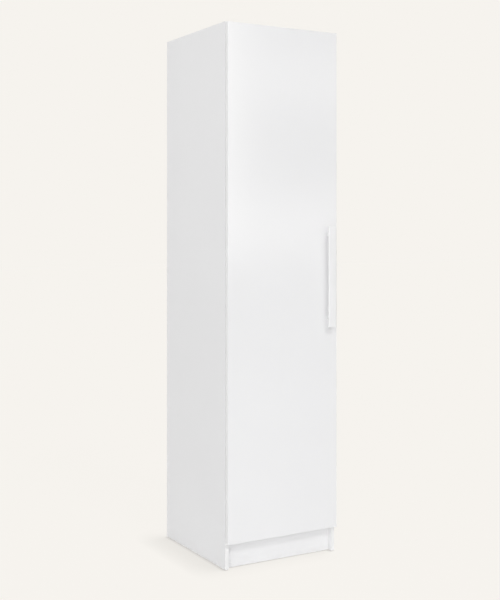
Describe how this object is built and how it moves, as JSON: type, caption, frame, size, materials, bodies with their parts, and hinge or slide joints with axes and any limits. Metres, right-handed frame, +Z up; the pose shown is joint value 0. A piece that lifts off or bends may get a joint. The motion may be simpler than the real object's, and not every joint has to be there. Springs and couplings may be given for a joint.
{
  "type": "wardrobe",
  "caption": "Tall narrow wardrobe: one full-height hinged door with a bar handle, over a hat shelf, hanging rail and adjustable shelf, on a recessed plinth.",
  "frame": {"origin": "on the floor, under the middle of the whole outline, handle included", "axes": "+Z up, the door faces -Y, the hinges are on the -X side"},
  "size_m": [0.48, 0.536, 2.0012],
  "materials": {
    "white_board": "smooth white laminate, satin gloss",
    "white_edge": "white plastic edge band",
    "hardboard": "thin hardboard, white on the inner face",
    "white_lacquer": "white satin lacquer on a cast handle",
    "plated_steel": "nickel-plated steel",
    "chrome_tube": "polished chrome",
    "beech": "raw beech",
    "white_plastic": "moulded white plastic",
    "soft_clear": "soft clear pad"
  },
  "bodies": {
    "carcass": {"side_panel_left": "white_board", "side_panel_right": "white_board", "side_front_bands": "white_edge", "top_panel": "white_board", "bottom_panel": "white_board", "hat_shelf": "white_board", "adjustable_shelf": "white_board", "panel_front_bands": "white_edge", "plinth_board": "white_board", "plinth_blocks": "white_plastic", "plinth_block_screws": "plated_steel", "back_board_upper": "hardboard", "back_board_lower": "hardboard", "back_joiner": "white_plastic", "back_nails": "plated_steel", "dowels": "beech", "cam_bolts": "plated_steel", "cam_locks": "plated_steel", "cam_caps": "white_plastic", "shelf_pins": "plated_steel", "hanging_rail": "chrome_tube", "rail_sockets": "chrome_tube", "rail_socket_screws": "plated_steel", "floor_glides": "white_plastic", "wall_brackets": "plated_steel", "wall_bracket_screws": "plated_steel", "door_bumpers": "soft_clear", "hinge_plates": "plated_steel", "hinge_plate_screws": "plated_steel", "hinge_arms": "plated_steel", "hinge_arm_screws": "plated_steel", "hinge_arm_pins": "plated_steel"},
    "outer_links": {"hinge_outer_links": "plated_steel"},
    "inner_links": {"hinge_inner_links": "plated_steel"},
    "door": {"door_board": "white_board", "door_edge_bands": "white_edge", "handle": "white_lacquer", "handle_screws": "plated_steel", "hinge_cups": "plated_steel", "hinge_cup_pins": "plated_steel", "hinge_cup_screws": "plated_steel"}
  },
  "joints": [
    {"name": "outer_link_turn", "type": "hinge", "parent": "carcass", "child": "outer_links", "pos_m": [-0.198, -0.2115, 1.0475], "axis": [0, 0, 1], "range_deg": [0, 35.12]},
    {"name": "inner_link_turn", "type": "hinge", "parent": "carcass", "child": "inner_links", "pos_m": [-0.207, -0.2285, 1.0475], "axis": [0, 0, 1], "range_deg": [0, 52.7]},
    {"name": "door_turn", "type": "hinge", "parent": "outer_links", "child": "door", "pos_m": [-0.2262, -0.2265, 1.0475], "axis": [0, 0, -1], "range_deg": [0, 124.62]}
  ],
  "couplings": [
    {"joint": "outer_link_turn", "follows": "door_turn", "ratio": 0.27778},
    {"joint": "inner_link_turn", "follows": "door_turn", "ratio": 0.41889}
  ]
}
